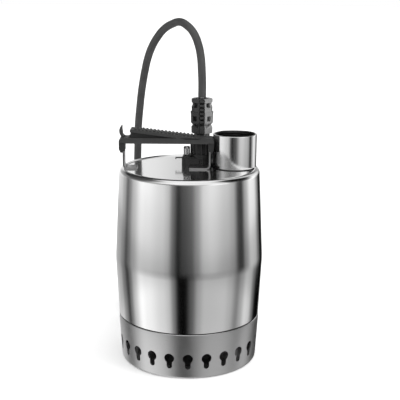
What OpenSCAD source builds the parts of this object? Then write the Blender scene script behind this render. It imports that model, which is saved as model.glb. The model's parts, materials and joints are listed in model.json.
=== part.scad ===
// Submersible sump pump with a polished barrel sleeve, a pull-off inlet strainer,
// an outlet socket on its top plate, a carrying handle and a supply cable.
// Z is the pump's axis, the strainer stands on z = 0, and the handle runs along X.

/* [Sleeve] */
// Diameter of the sleeve at its crease
body_d = 149; // [146:0.5:152]
// Height of the crease
crease_z = 106; // [100:1:112]
// Radius of the sleeve just above the strainer
sleeve_foot_r = 71.7; // [71.2:0.1:72.2]
// Radius of the sleeve below its shoulder
sleeve_neck_r = 70.3; // [70:0.1:71]
// Height of the flat top plate
plate_z = 196.8; // [195:0.1:199]
// Sheet thickness of the sleeve
sleeve_t = 1; // [0.8:0.1:1.2]

/* [Strainer] */
// Height of the strainer's upper edge
strainer_h = 46.3; // [44:0.1:46.5]
// Number of keyhole inlets
keyholes = 24; // [12:2:26]
// Diameter of an inlet's round end
keyhole_d = 10; // [8:0.5:11]
// Width of an inlet's slot
keyslot_w = 5.5; // [4:0.5:6]

/* [Outlet] */
// Inside diameter of the outlet socket
outlet_bore_d = 39; // [38:0.1:40]
// Outside diameter of the outlet socket
outlet_d = 43.8; // [43:0.1:45]
// Height of the outlet's rim
outlet_top = 230.6; // [225:0.1:235]
// Outlet position along X
outlet_x = 45.1; // [44:0.1:46]
// Outlet position along Y
outlet_y = 5.3; // [4:0.1:6]

/* [Handle] */
// Left end of the handle
handle_left = -69.8; // [-71:0.1:-69]
// Right end of the handle
handle_right = 24; // [23:0.1:24]
// Underside of the bar
bar_z = 222.2; // [222:0.1:224]
// Thickness of the bar
bar_t = 5.6; // [5:0.1:6]
// Height of the wedge at its thick end
wedge_top = 235.6; // [234:0.1:237]
// Radius of the notch for a float switch's cable
notch_r = 4.6; // [4.2:0.1:4.8]

/* [Cable] */
// Cable diameter
cable_d = 8; // [7:0.5:8]
// Gland position along X
gland_x = 12; // [11:0.5:12]
// Gland position along Y
gland_y = 17.3; // [17:0.1:18]
// Height of the strain relief's upper end
relief_top = 265; // [260:1:270]

/* [Motor and impeller] */
// Outside radius of the motor can
can_r = 50; // [49:0.5:51]
// Radius of the rotor
rotor_r = 24.5; // [24:0.1:24.5]
// Diameter of the shaft
shaft_d = 12; // [12:0.5:13]
// Outside radius of the impeller
impeller_r = 42; // [36:1:44]
// Number of impeller vanes
vanes = 6; // [4:1:8]

/* [Hidden] */
$fn = 96;
eps = 0.01;

body_r = body_d / 2;
plate_t = sleeve_t;
shoulder_r = 5.1;
crest_r = sleeve_neck_r - shoulder_r;
crest_z = plate_z + 1.2;
skirt_r = 69.9;
skirt_bottom = 36;
seam_z = 46.9;
plate_r = 64.2;
crease_bend = 90;

outlet_r = outlet_d / 2;
outlet_weld = 0.8;
outlet_hole_r = outlet_bore_d / 2 - 0.3;
outlet_bore_r = outlet_bore_d / 2;
cable_r = cable_d / 2;
shaft_r = shaft_d / 2;
running_gap = 0.04;

strainer_t = 1.2;
strainer_fillet = 2.5;
bar_top = bar_z + bar_t;
handle_front = -10;
handle_back = 7.5;
leg_back = 4.8;
leg_bottom = 213;
strip_t = 2;
strip_front = -11.2;
strip_back = 4.8;
strip_bend = 5;
left_upright_x = -66;
right_upright_x = 20.7;
notch_x = -62.6;
notch_z = 232.4;

// Levels of the wet end, from the suction eye up to the motor
eye_r = 18;
wear_r = 16;
housing_bottom = 30;
housing_r = 52;
housing_top = 58;
lower_plate_top = 63;
bearing_outer_r = 10;
boss_r = 14;
bearing_floor = 64;
housing_groove_r = 67.55;
housing_cord_r = 1.3;
housing_groove_z = 43;
lower_boss_top = 76;
stator_bottom = 84;
stator_top = 134;
upper_plate_bottom = 146;
upper_plate_top = 150;
upper_boss_top = 158;
can_top = 176;
cap_groove_r = can_r - 2;
cap_groove_z = can_top - 2.5;
cap_cord_r = 0.98;
groove_clearance = 0.07;
liner_r = 25;
rod_circle_r = 34;
stator_slots = 24;
ear_r = 56;
ear_bolt_r = 2;

gland_base_top = 206.2;
gland_hole_r = 5;
gland_body_r = 12.1;
gland_screw_x = -3;
gland_screw_y = 11;
gland_screw_r = 1.5;
gland_ear_h = 7.5;
nut_top = 221.6;
relief_r = 10.6;
connector_r = 7;
connector_groove_z = gland_base_top - 3;
lead_circle_r = 2.6;
lead_angles = [90, 210, 330];

coil_x = -2;
coil_y = 150;
coil_inner_r = 34;
coil_outer_r = 66;
coil_top = 29.6;
plug_tilt = 14.6;
plug_rear = [-32, 193, 34.4];

// Route of the cable from the strain relief over the arch and down to the coil
lead_route = [
    [12, 17.3, 265], [12, 17.3, 279], [11.5, 16, 292], [10.5, 15.5, 305], [8, 17.5, 317],
    [3.5, 23, 327.5], [-3, 31, 334.5], [-11, 41, 338], [-19, 50.5, 335.5], [-27.5, 59, 330],
    [-35, 65.5, 321], [-41, 69.5, 310.5], [-45.5, 72.5, 298.5], [-48.5, 75, 286], [-51, 77, 273],
    [-53, 78.5, 260], [-54.5, 80, 247], [-56, 81.5, 233], [-57, 83, 217], [-57.5, 84, 200],
    [-58, 84, 182], [-58, 84, 163], [-58.5, 84, 143], [-59, 84, 123], [-59.5, 84, 103],
    [-60, 84, 84], [-60.5, 84, 66], [-61, 84, 50], [-61.5, 86, 34], [-62, 92.5, 20.5],
    [-62.5, 103, 10], [-63, 116, 5.3], [-63.5, 130, 4.2], [-64, 150, 4.1]
];

// Route of the cable from the top of the coil to the plug
tail_route = [
    [-2, 92, 25.6], [-17, 94, 26.5], [-32, 100, 29.5], [-46, 110.5, 33], [-56.5, 125.5, 34],
    [-63, 143, 34], [-64.5, 160, 34], [-62, 172.5, 34], [-55, 183.5, 33.8],
    [-44.5, 190.5, 33.7], [-32, 193, 34.4]
];

function arc_points(cx, cy, r, a0, a1, n) =
    [for (i = [0:n]) [cx + r * cos(a0 + (a1 - a0) * i / n), cy + r * sin(a0 + (a1 - a0) * i / n)]];
function unit(v) = v / norm(v);
function heading(route, i) =
    unit(route[min(i + 1, len(route) - 1)] - route[max(i - 1, 0)]);
function ring_points(centre, dir, r, sides, across) =
    let (u = unit(cross(dir, across)), v = cross(dir, u))
    [for (k = [0:sides - 1]) centre + r * (u * cos(360 * k / sides) + v * sin(360 * k / sides))];
function rounded_box(x0, y0, x1, y1, r, n) = concat(
    arc_points(x1 - r, y0 + r, r, -90, 0, n), arc_points(x1 - r, y1 - r, r, 0, 90, n),
    arc_points(x0 + r, y1 - r, r, 90, 180, n), arc_points(x0 + r, y0 + r, r, 180, 270, n));

module tube(r0, r1, z0, z1) {
    translate([0, 0, z0])
        difference() {
            cylinder(r = r1, h = z1 - z0);
            translate([0, 0, -1])
                cylinder(r = r0, h = z1 - z0 + 2);
        }
}

module disc(r, z0, z1) {
    translate([0, 0, z0])
        cylinder(r = r, h = z1 - z0);
}

module disc_hex(r, z0, z1) {
    translate([0, 0, z0])
        cylinder(r = r, h = z1 - z0, $fn = 6);
}

module torus(ring_r, r, z) {
    translate([0, 0, z])
        rotate_extrude()
            translate([ring_r, 0])
                circle(r = r, $fn = 32);
}

// Moves a piece to the outlet's axis, the gland's axis, or each of the housing's three ears
module at_outlet() {
    translate([outlet_x, outlet_y, 0])
        children();
}

module at_gland() {
    translate([gland_x, gland_y, 0])
        children();
}

module at_ears() {
    for (a = [30:120:270])
        rotate([0, 0, a])
            translate([ear_r, 0, 0])
                children();
}

// Sweeps a round section along a route, one ring of points at each of its points
module sweep(route, r, sides, across) {
    rings = len(route);
    points = [for (i = [0:rings - 1]) each ring_points(route[i], heading(route, i), r, sides, across)];
    walls = [for (i = [0:rings - 2], k = [0:sides - 1])
        let (a = i * sides + k, b = i * sides + (k + 1) % sides)
        each [[a, b, b + sides], [a, b + sides, a + sides]]];
    first = [for (k = [0:sides - 1]) sides - 1 - k];
    last = [for (k = [0:sides - 1]) (rings - 1) * sides + k];
    polyhedron(points = points, faces = concat([first], walls, [last]));
}

// Extrudes an outline drawn in X and Z over a stretch of Y
module side_profile(y0, y1) {
    translate([0, y1, 0])
        rotate([90, 0, 0])
            linear_extrude(height = y1 - y0)
                children();
}

// Outline of the sleeve's wall and top plate, inset by the given amount
function sleeve_outline(inset) = concat(
    [[skirt_r - inset, skirt_bottom]],
    [[skirt_r - inset, seam_z - 0.6], [sleeve_foot_r - 0.3 - inset, seam_z + 0.2]],
    [[sleeve_foot_r - inset, seam_z + 0.9]],
    arc_points(body_r - crease_bend - inset, crease_z, crease_bend, -2.7, 2.8, 6),
    arc_points(crest_r, crest_z - shoulder_r, shoulder_r - inset, 3, 90, 10));

module outer_sleeve() {
    wall = concat(
        sleeve_outline(0),
        [[plate_r + 0.4, crest_z - 0.4], [plate_r, plate_z], [0, plate_z], [0, plate_z - plate_t]],
        [[plate_r, plate_z - plate_t]],
        [for (i = [len(sleeve_outline(sleeve_t)) - 1:-1:0]) sleeve_outline(sleeve_t)[i]]);
    color("silver")
        difference() {
            rotate_extrude()
                polygon(wall);
            at_outlet()
                disc(outlet_hole_r, plate_z - 5, plate_z + 5);
            // Seat for the socket's welded foot, which reaches into the shoulder
            at_outlet()
                disc(outlet_r + outlet_weld, plate_z, plate_z + 5);
            at_gland()
                disc(gland_hole_r + 1, plate_z - 5, plate_z + 5);
        }
}

module outlet_socket() {
    chamfer = 1;
    color("silver")
        at_outlet()
            difference() {
                union() {
                    disc(outlet_r, plate_z, outlet_top);
                    translate([0, 0, plate_z])
                        cylinder(r1 = outlet_r + outlet_weld, r2 = outlet_r, h = outlet_weld);
                }
                disc(outlet_bore_r, plate_z - 1, outlet_top + 1);
                translate([0, 0, outlet_top - chamfer])
                    cylinder(r1 = outlet_bore_r, r2 = outlet_bore_r + 1.2 * chamfer, h = 1.2 * chamfer);
            }
}

// One keyhole: a round hole with a slot that ends in a half round, cut along +X
module keyhole() {
    hole_z = 21;
    slot_z = 12.9;
    translate([60, 0, hole_z])
        rotate([0, 90, 0])
            cylinder(d = keyhole_d, h = 20, $fn = 48);
    translate([60, -keyslot_w / 2, slot_z])
        cube([20, keyslot_w, hole_z - slot_z]);
    translate([60, 0, slot_z])
        rotate([0, 90, 0])
            cylinder(d = keyslot_w, h = 20, $fn = 32);
}

module strainer() {
    // The wall widens upwards, and the floor is pressed up inside its standing ring
    foot_r = 69.4;
    belly_r = 71;
    belly_z = 28;
    rim_r = 71.8;
    ring_r = 54;
    lift = 3;
    outside = concat(
        [[0, lift], [ring_r - 6, lift], [ring_r - 2, 0]],
        arc_points(foot_r - strainer_fillet, strainer_fillet, strainer_fillet, -90, 0, 6),
        [[belly_r, belly_z], [rim_r, strainer_h - 5], [rim_r, strainer_h]]);
    inside = concat(
        [[rim_r - strainer_t, strainer_h], [rim_r - strainer_t, strainer_h - 5]],
        [[belly_r - strainer_t, belly_z]],
        arc_points(foot_r - strainer_fillet, strainer_fillet, strainer_fillet - strainer_t, 0, -90, 6),
        [[ring_r - 1.5, strainer_t], [ring_r - 5.5, lift + strainer_t], [0, lift + strainer_t]]);
    color("gainsboro")
        difference() {
            rotate_extrude()
                polygon(concat(outside, inside));
            for (i = [0:keyholes - 1])
                rotate([0, 0, -90 + i * 360 / keyholes])
                    keyhole();
        }
}

module pump_housing() {
    wall = 2;
    flange_r = 68.4;
    color("dimgray")
        difference() {
            union() {
                tube(eye_r, housing_r, housing_bottom, housing_bottom + 3);
                tube(eye_r, eye_r + 3, housing_bottom - 3, housing_bottom + 3);
                tube(housing_r - wall, housing_r, housing_bottom, housing_top);
                tube(housing_r - wall, flange_r, 40, 46);
                at_ears()
                    disc(5, 50, housing_top);
            }
            torus(housing_groove_r, housing_cord_r + groove_clearance, housing_groove_z);
            for (a = [0:60:300])
                rotate([0, 0, a])
                    translate([housing_r - 5, -9, 47.5])
                        cube([10, 18, 7]);
            at_ears()
                disc(ear_bolt_r, 49, 61);
        }
}

module housing_oring() {
    color("black")
        torus(housing_groove_r, housing_cord_r, housing_groove_z);
}

module housing_screws() {
    head_bottom = 46.4;
    socket_depth = 2;
    color("silver")
        at_ears() {
            difference() {
                disc(3.5, head_bottom, 50);
                disc_hex(1.6, head_bottom - 1, head_bottom + socket_depth);
            }
            disc(ear_bolt_r, 50, 62);
        }
}

module suction_wear_ring() {
    color("black")
        tube(wear_r, eye_r, housing_bottom - 2.4, housing_bottom + 3);
}

module lower_bearing_plate() {
    color("silver")
        difference() {
            union() {
                disc(housing_r, housing_top, lower_plate_top);
                disc(boss_r, lower_plate_top, lower_boss_top);
                at_ears()
                    disc(5, housing_top, lower_plate_top);
            }
            disc(bearing_outer_r, bearing_floor, lower_boss_top + 1);
            disc(boss_r - 1, housing_top - 1, bearing_floor - 0.6);
            at_ears()
                disc(ear_bolt_r, housing_top - 1, lower_plate_top + 1);
            disc(shaft_r + 1, housing_top, bearing_floor + 1);
        }
}

module lower_bearing() {
    color("ivory")
        tube(shaft_r + running_gap, bearing_outer_r, bearing_floor, lower_boss_top);
}

module shaft_seal() {
    color("black")
        difference() {
            tube(shaft_r + running_gap, boss_r - 1, housing_top, bearing_floor - 0.6);
            tube(shaft_r + 2, boss_r - 3, housing_top - 1, housing_top + 3);
        }
}

module motor_can() {
    color("silver")
        tube(can_r - 1, can_r, lower_plate_top, can_top);
}

module motor_top_cap() {
    color("dimgray")
        difference() {
            union() {
                disc(can_r, can_top, can_top + 3);
                tube(44, can_r - 1, can_top - 5, can_top + eps);
                translate([0, 0, can_top + 3])
                    cylinder(r1 = can_r - 3, r2 = 30, h = 4);
                at_gland()
                    disc(10, can_top + 3, plate_z - plate_t);
            }
            torus(cap_groove_r, cap_cord_r + groove_clearance, cap_groove_z);
            at_gland()
                disc(gland_hole_r, can_top - 1, plate_z);
        }
}

module top_cap_oring() {
    color("black")
        torus(cap_groove_r, cap_cord_r, cap_groove_z);
}

module upper_bearing_plate() {
    color("silver")
        difference() {
            union() {
                disc(can_r - 1, upper_plate_bottom, upper_plate_top);
                disc(boss_r, upper_plate_top, upper_boss_top + 4);
            }
            disc(bearing_outer_r, upper_plate_bottom - 1, upper_boss_top);
            disc(shaft_r + 1, upper_boss_top - 1, upper_boss_top + 3);
            at_gland()
                disc(gland_hole_r, upper_plate_bottom - 1, upper_plate_top + 1);
        }
}

module upper_bearing() {
    color("ivory")
        tube(shaft_r + running_gap, bearing_outer_r, upper_plate_bottom, upper_boss_top);
}

module stator_core() {
    color("slategray")
        difference() {
            tube(liner_r + 0.7, can_r - 1, stator_bottom, stator_top);
            for (i = [0:stator_slots - 1])
                rotate([0, 0, i * 360 / stator_slots])
                    translate([rod_circle_r, 0, stator_bottom - 1])
                        cylinder(r = 2.8, h = stator_top - stator_bottom + 2, $fn = 24);
        }
}

module winding_ring(z0, z1) {
    rotate_extrude()
        polygon(rounded_box(28.5, z0, 41, z1, 3, 4));
}

module stator_windings() {
    color("peru") {
        winding_ring(stator_bottom - 9.5, stator_bottom - 0.5);
        winding_ring(stator_top + 0.5, stator_top + 10);
        for (i = [0:stator_slots - 1])
            rotate([0, 0, i * 360 / stator_slots])
                translate([rod_circle_r, 0, stator_bottom - 2])
                    cylinder(r = 2.6, h = stator_top - stator_bottom + 4, $fn = 24);
    }
}

module stator_liner() {
    color("silver")
        tube(liner_r, liner_r + 0.6, lower_plate_top, upper_plate_bottom);
}

module run_capacitor() {
    color("whitesmoke")
        translate([-26, -26, upper_plate_top + 11])
            rotate([0, 90, 0]) {
                cylinder(r = 11, h = 50);
                translate([0, 0, 50])
                    cylinder(r = 8, h = 3);
            }
}

module overload_switch() {
    color("black")
        translate([-20, 16, upper_plate_top]) {
            cylinder(r = 7, h = 8);
            translate([-3, -0.5, 8])
                cube([1, 1, 5]);
            translate([2, -0.5, 8])
                cube([1, 1, 5]);
        }
}

module motor_leads() {
    color("brown")
        at_gland()
            for (a = lead_angles)
                rotate([0, 0, a])
                    translate([lead_circle_r, 0, 0])
                        disc(1.1, stator_top + 8, plate_z + 3);
}

module shaft() {
    thread_bottom = 32.5;
    hub_bottom = 40;
    color("lightgray") {
        disc(shaft_r, hub_bottom, upper_boss_top + 2);
        disc(shaft_r - 1, thread_bottom, hub_bottom + eps);
    }
}

module rotor_core() {
    color("slategray")
        tube(shaft_r, rotor_r, stator_bottom, stator_top);
}

module rotor_cage() {
    color("silver")
        for (z = [stator_bottom - 5, stator_top])
            difference() {
                tube(15, rotor_r - 1, z, z + 5);
                for (a = [0:45:315])
                    rotate([0, 0, a])
                        translate([19, 0, z - 1])
                            cylinder(r = 1.5, h = 7, $fn = 24);
            }
}

module thrust_ring() {
    color("black")
        tube(shaft_r, 9.5, lower_boss_top + 0.3, lower_boss_top + 2.3);
}

// One backward-curved vane as part of a thin circular wall
module vane(z0, z1) {
    bend_r = 30;
    translate([0, 0, z0])
        linear_extrude(height = z1 - z0)
            intersection() {
                translate([-8, -bend_r + 14])
                    difference() {
                        circle(r = bend_r);
                        circle(r = bend_r - 2);
                    }
                translate([10, -30])
                    square([40, 60]);
                circle(r = impeller_r - 0.5);
            }
}

module impeller() {
    color("silver")
        difference() {
            union() {
                tube(14, impeller_r, 36, 38);
                tube(14, wear_r - 0.4, housing_bottom - 1, 38);
                disc(impeller_r, 45.5, 47.5);
                disc(10.5, 40, 53);
                for (i = [0:vanes - 1])
                    rotate([0, 0, i * 360 / vanes])
                        vane(37, 46.5);
            }
            disc(shaft_r, 39, 54);
        }
}

module impeller_washer() {
    color("silver")
        tube(shaft_r - 1, 9, 38.8, 40);
}

module impeller_nut() {
    color("silver")
        difference() {
            disc_hex(7.5, 33.4, 38.8);
            disc(shaft_r - 1, 32, 40);
        }
}

// A leg of the handle, with a point at its foot, from x0 to x1
module leg_outline(x0, x1, slant) {
    polygon([
        [x0, bar_z + 2], [x0, leg_bottom + (slant < 0 ? 3.5 : 0)],
        [x0 + 1.6, leg_bottom], [x1 - 1.6, leg_bottom],
        [x1, leg_bottom + (slant > 0 ? 3.5 : 0)], [x1, bar_z + 2]]);
}

// The hook that holds a float switch's cable: a ring with a horn, open upwards
module notch_outline() {
    horn_r = 9;
    horn_x = handle_left + horn_r;
    difference() {
        union() {
            translate([notch_x, notch_z])
                circle(r = notch_r + 2.1);
            difference() {
                translate([horn_x, notch_z + 0.4])
                    circle(r = horn_r);
                translate([horn_x + 2.2, notch_z + 0.9])
                    circle(r = horn_r - 0.6);
                translate([horn_x - 4.5, notch_z - 20])
                    square([40, 40]);
                translate([horn_x - 20, notch_z - 26])
                    square([40, 22]);
            }
            translate([handle_left + 1.6, bar_top - 1])
                square([11, 3]);
        }
        translate([notch_x, notch_z])
            circle(r = notch_r);
        translate([notch_x - 2.2, notch_z])
            square([12, 12]);
        translate([notch_x - 4.2, notch_z + 1.2])
            square([12, 12]);
    }
}

module handle() {
    wedge_left = -57.8;
    tooth_from = -47;
    tooth_pitch = 2.35;
    teeth = 20;
    slope = atan((wedge_top - 229.6) / 57);
    color([0.16, 0.16, 0.16])
        difference() {
            union() {
                side_profile(handle_front, handle_back)
                    polygon(concat(
                        [[handle_left, bar_z], [handle_right, bar_z]],
                        arc_points(handle_right - 2.5, bar_top - 2.5, 2.5, 0, 90, 4),
                        arc_points(handle_left + 3.5, bar_top - 3.5, 3.5, 90, 180, 5)));
                side_profile(handle_front, leg_back)
                    leg_outline(handle_left, left_upright_x + strip_t + 0.6, -1);
                side_profile(handle_front, leg_back)
                    leg_outline(right_upright_x - strip_t - 0.5, handle_right, 1);
                side_profile(handle_front + 0.6, handle_back)
                    polygon([
                        [wedge_left, bar_top - 1], [10, bar_top - 1], [10, bar_top + 0.1],
                        [-1, 229.6], [wedge_left + 1, wedge_top + 0.1], [wedge_left, wedge_top - 1]]);
                side_profile(-4, handle_back - 1)
                    notch_outline();
                for (i = [0:teeth - 1])
                    translate([tooth_from + i * tooth_pitch, handle_back - 2.6,
                        229.6 - (tooth_from + 1 + i * tooth_pitch) * tan(slope) - 0.5])
                        rotate([0, slope, 0])
                            cube([1.3, 2.6, 1.2]);
            }
            // Shadow groove between the wedge and the bar
            side_profile(handle_front - 1, handle_front + 4)
                polygon([
                    [wedge_left - 1, bar_top + 0.1], [wedge_left - 1, bar_top + 1.7],
                    [-3, bar_top + 0.7], [-3, bar_top + 0.1]]);
            // Clearance round the outlet socket
            at_outlet()
                disc(outlet_r + 0.2, leg_bottom - 1, outlet_top + 1);
            // Pockets for the two steel uprights
            translate([left_upright_x, strip_front, leg_bottom - 1])
                cube([strip_t, leg_back - strip_front + 1, 9]);
            translate([right_upright_x - strip_t, strip_front, leg_bottom - 1])
                cube([strip_t, leg_back - strip_front + 1, 9]);
        }
}

// A steel strip bent into a foot and an upright; dir is the way the foot points
module bracket(upright_x, dir, foot_length) {
    bend_z = plate_z + strip_bend;
    top_z = leg_bottom + 8;
    translate([upright_x, 0, 0])
        side_profile(strip_front, strip_back)
            scale([dir, 1])
                polygon(concat(
                    [[foot_length, plate_z], [foot_length, plate_z + strip_t]],
                    arc_points(strip_bend, bend_z, strip_bend - strip_t, 270, 180, 5),
                    [[strip_t, top_z], [0, top_z]],
                    arc_points(strip_bend, bend_z, strip_bend, 180, 270, 7)));
}

// A spot weld's dimple in a bracket's foot
module weld_dimple(x, y) {
    translate([x, y, plate_z + strip_t + 2.6])
        sphere(r = 3.2, $fn = 32);
}

module handle_bracket_left() {
    color("silver")
        difference() {
            bracket(left_upright_x, 1, 14);
            weld_dimple(-57, -2.5);
        }
}

module handle_bracket_right() {
    color("silver")
        difference() {
            bracket(right_upright_x, -1, 21);
            weld_dimple(6, -2.5);
        }
}

module gland_base() {
    color([0.13, 0.13, 0.13])
        difference() {
            union() {
                at_gland()
                    disc(gland_body_r, plate_z, gland_base_top);
                // Block beside the round body, its ear, and a boss on its front
                translate([-5, 6.2, plate_z])
                    cube([17, 20, gland_base_top - plate_z]);
                translate([-8, 8, plate_z])
                    cube([6, 14, gland_ear_h]);
                translate([0, 5.2, plate_z + 1.6])
                    cube([10, 2, 6]);
                translate([gland_screw_x, gland_screw_y, 0])
                    disc(4, plate_z, gland_base_top + 1);
            }
            at_gland() {
                disc(connector_r, plate_z + 3, gland_base_top + 1);
                disc(gland_hole_r, plate_z - 1, plate_z + 4);
                torus(connector_r, 1, connector_groove_z);
            }
        }
}

module gland_oring() {
    color("black")
        at_gland()
            torus(connector_r + 0.1, 0.9, connector_groove_z);
}

module cable_connector() {
    color([0.2, 0.2, 0.2])
        at_gland()
            difference() {
                disc(connector_r - 0.1, plate_z + 3, nut_top);
                torus(connector_r + 0.1, 1, connector_groove_z);
                for (a = lead_angles)
                    rotate([0, 0, a])
                        translate([lead_circle_r, 0, 0])
                            disc(1.3, plate_z, plate_z + 8);
            }
}

module gland_nut() {
    ribs = 14;
    flange_h = 3;
    collar_r = 10.6;
    chamfer = 1.5;
    color([0.1, 0.1, 0.1])
        at_gland()
            difference() {
                union() {
                    disc(11.9, gland_base_top, gland_base_top + flange_h);
                    disc(collar_r, gland_base_top, nut_top - chamfer);
                    translate([0, 0, nut_top - chamfer])
                        cylinder(r1 = collar_r, r2 = collar_r - 1, h = chamfer);
                    for (i = [0:ribs - 1])
                        rotate([0, 0, i * 360 / ribs])
                            translate([collar_r, 0, 0])
                                disc(1.2, gland_base_top, nut_top - chamfer - 0.1);
                }
                disc(connector_r, gland_base_top - 1, nut_top + 1);
            }
}

module gland_screw() {
    color("silver")
        translate([gland_screw_x, gland_screw_y, gland_base_top + 1]) {
            cylinder(r = gland_screw_r, h = 8, $fn = 24);
            difference() {
                translate([0, 0, 7])
                    cylinder(r = 2.3, h = 2.4, $fn = 32);
                translate([-3, -0.4, 8.6])
                    cube([6, 0.8, 2]);
            }
        }
}

module gland_tab() {
    color([0.2, 0.2, 0.2])
        translate([-14.5, 9.5, plate_z + gland_ear_h]) {
            cube([7.4, 3, 0.9]);
            translate([0, 0, -1])
                cube([0.9, 3, 1.5]);
        }
}

module strain_relief() {
    foot = nut_top;
    shell_bottom = 229.5;
    color([0.25, 0.25, 0.25])
        at_gland() {
            difference() {
                union() {
                    disc(8, foot, shell_bottom + eps);
                    disc(relief_r - 0.3, shell_bottom, 236);
                    translate([0, 0, 236])
                        cylinder(r1 = relief_r - 0.3, r2 = relief_r - 1.6, h = 2);
                    translate([0, 0, 238])
                        cylinder(r1 = relief_r - 1.6, r2 = relief_r, h = 2.5);
                    disc(relief_r, 240.5, 248);
                    translate([0, 0, 248])
                        cylinder(r1 = relief_r, r2 = relief_r + 0.4, h = 4);
                    disc(relief_r - 0.4, 252, 257);
                    disc(relief_r - 1.2, 257, 260.5);
                    disc(relief_r - 0.5, 260.5, relief_top - 0.4);
                    disc(relief_r - 1.5, relief_top - 0.4, relief_top);
                }
                for (a = [0, 180])
                    rotate([0, 0, a])
                        translate([-2.6, -20, 238])
                            cube([5.2, 13.4, 40]);
                for (a = [0, 180], side = [-1, 1], z = [242.5, 257])
                    rotate([0, 0, a + side * 42])
                        translate([-1.5, -20, z])
                            cube([3, 13, 3.4]);
                for (a = [0, 180], side = [-1, 1])
                    rotate([0, 0, a + side * 34])
                        translate([-2.2, -20, 236.2])
                            rotate([0, side * 25, 0])
                                cube([4.4, 13, 1.8]);
            }
            for (a = [0, 180], i = [0:6])
                rotate([0, 0, a])
                    translate([-2.61, -8.4, 239.6 + i * 3.6])
                        cube([5.22, 2.4, 1.7]);
        }
}

module supply_cable() {
    color([0.25, 0.25, 0.25])
        sweep(lead_route, cable_r, 12, [0.6, 0.8, 0]);
}

module cable_coil() {
    color([0.27, 0.27, 0.27])
        translate([coil_x, coil_y, 0])
            rotate_extrude()
                polygon(rounded_box(coil_inner_r, 0, coil_outer_r, coil_top, cable_r, 5));
}

module cable_tail() {
    color([0.25, 0.25, 0.25])
        sweep(tail_route, cable_r, 12, [0, 0, 1]);
}

module coil_ties() {
    strap_t = 1.2;
    color([0.1, 0.1, 0.1])
        for (a = [20, 235])
            translate([coil_x, coil_y, 0])
                rotate([0, 0, a])
                    rotate_extrude(angle = 15)
                        difference() {
                            polygon(rounded_box(
                                coil_inner_r - strap_t, 0, coil_outer_r + strap_t,
                                coil_top + strap_t, cable_r, 5));
                            polygon(rounded_box(
                                coil_inner_r, strap_t, coil_outer_r, coil_top, cable_r - 0.5, 5));
                        }
}

// Places a piece that is drawn along +X from the plug's rear end
module plug_place() {
    translate(plug_rear)
        rotate([0, -plug_tilt, 0])
            rotate([0, 90, 0])
                children();
}

module mains_plug() {
    color([0.12, 0.12, 0.12])
        plug_place()
            difference() {
                union() {
                    cylinder(r1 = 5, r2 = 7, h = 22);
                    translate([0, 0, 22])
                        cylinder(r1 = 9.5, r2 = 17, h = 30);
                    translate([0, 0, 52])
                        cylinder(r = 18.5, h = 9);
                }
                for (side = [-1, 1])
                    translate([side * 16.3 - 1.5, -3, 40])
                        cube([3, 6, 30]);
                translate([0, -9.5, 50])
                    cylinder(r = 2.4, h = 20, $fn = 32);
                translate([0, 9.5, 50])
                    cylinder(r = 2.4, h = 20, $fn = 32);
            }
}

module plug_pins() {
    color("silver")
        plug_place() {
            for (side = [-1, 1]) {
                translate([0, side * 9.5, 50])
                    cylinder(r = 2.4, h = 28.5, $fn = 32);
                translate([0, side * 9.5, 78.5])
                    cylinder(r1 = 2.4, r2 = 1.4, h = 1.5, $fn = 32);
            }
            for (side = [-1, 1])
                translate([side * 16.3 - 0.6, -2.5, 46])
                    cube([1.2, 5, 15.5]);
        }
}

outer_sleeve();
outlet_socket();
strainer();
pump_housing();
housing_oring();
housing_screws();
suction_wear_ring();
lower_bearing_plate();
lower_bearing();
shaft_seal();
motor_can();
motor_top_cap();
top_cap_oring();
upper_bearing_plate();
upper_bearing();
stator_core();
stator_windings();
stator_liner();
run_capacitor();
overload_switch();
motor_leads();
shaft();
rotor_core();
rotor_cage();
thrust_ring();
impeller();
impeller_washer();
impeller_nut();
handle();
handle_bracket_left();
handle_bracket_right();
gland_base();
gland_oring();
gland_nut();
gland_screw();
gland_tab();
cable_connector();
strain_relief();
supply_cable();
cable_coil();
cable_tail();
coil_ties();
mains_plug();
plug_pins();
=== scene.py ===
"""Looks of the submersible sump pump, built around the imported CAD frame.

Lengths are written in millimetres and turned into Blender's metres by mm() and pt().
The pump's axis is Z, the strainer stands on z = 0, and the handle runs along X.
"""

import json
import math

import bmesh
import bpy
from mathutils import Matrix, Vector


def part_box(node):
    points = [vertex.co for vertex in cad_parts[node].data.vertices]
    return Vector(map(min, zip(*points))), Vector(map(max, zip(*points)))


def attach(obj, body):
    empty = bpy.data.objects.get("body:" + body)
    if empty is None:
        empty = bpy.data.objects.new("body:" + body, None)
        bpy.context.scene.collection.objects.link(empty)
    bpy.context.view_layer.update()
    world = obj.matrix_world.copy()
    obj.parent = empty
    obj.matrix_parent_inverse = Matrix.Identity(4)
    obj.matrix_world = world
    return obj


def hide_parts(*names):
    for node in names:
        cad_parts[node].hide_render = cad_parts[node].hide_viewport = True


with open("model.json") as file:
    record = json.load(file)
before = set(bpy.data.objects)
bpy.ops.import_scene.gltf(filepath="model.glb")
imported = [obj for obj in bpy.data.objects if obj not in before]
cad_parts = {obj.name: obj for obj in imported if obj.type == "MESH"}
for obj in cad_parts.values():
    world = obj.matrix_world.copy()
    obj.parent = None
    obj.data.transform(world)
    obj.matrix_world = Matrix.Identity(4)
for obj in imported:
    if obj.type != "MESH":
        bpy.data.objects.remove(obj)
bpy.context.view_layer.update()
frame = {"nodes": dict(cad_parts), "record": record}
NODES = frame["nodes"]
MM = 0.001


def mm(value):
    return value * MM


def pt(x, y, z):
    return Vector((x, y, z)) * MM


def low(node):
    """Lowest corner of a CAD node, in millimetres."""
    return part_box(node)[0] / MM


def high(node):
    """Highest corner of a CAD node, in millimetres."""
    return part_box(node)[1] / MM


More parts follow.
